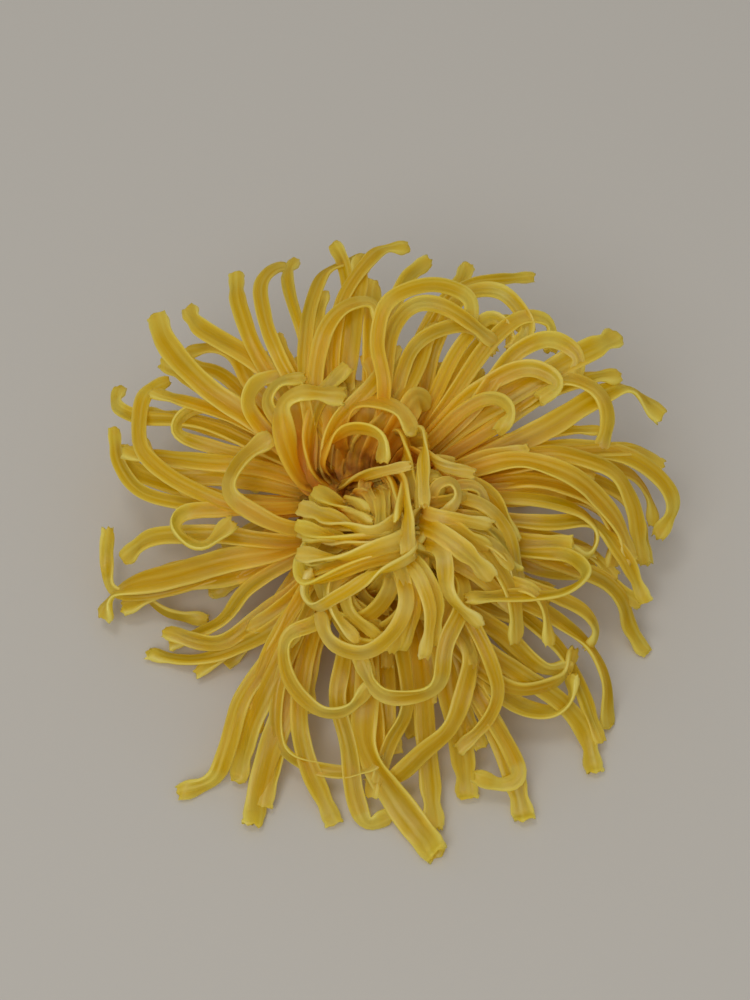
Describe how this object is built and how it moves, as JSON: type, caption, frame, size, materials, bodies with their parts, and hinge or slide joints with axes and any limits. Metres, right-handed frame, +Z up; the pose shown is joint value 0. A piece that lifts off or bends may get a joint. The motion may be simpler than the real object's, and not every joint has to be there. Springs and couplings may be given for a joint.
{
  "type": "preserved chrysanthemum flower",
  "caption": "Dried yellow spider chrysanthemum head with long curling tubular florets, cut off below its calyx and lying tipped forward on its petal tips.",
  "frame": {"origin": "centre of the bounding box's base, on the surface that the flower lies on", "axes": "+Z up from the surface, -Y towards the side that the head is tipped to face, +X to the right as seen from there"},
  "size_m": [0.1105, 0.1118, 0.0463],
  "materials": {
    "petal": "dried petal, satin",
    "calyx": "dried green-brown, dull"
  },
  "bodies": {
    "root": {"bloom": "petal", "calyx": "calyx"}
  },
  "joints": []
}
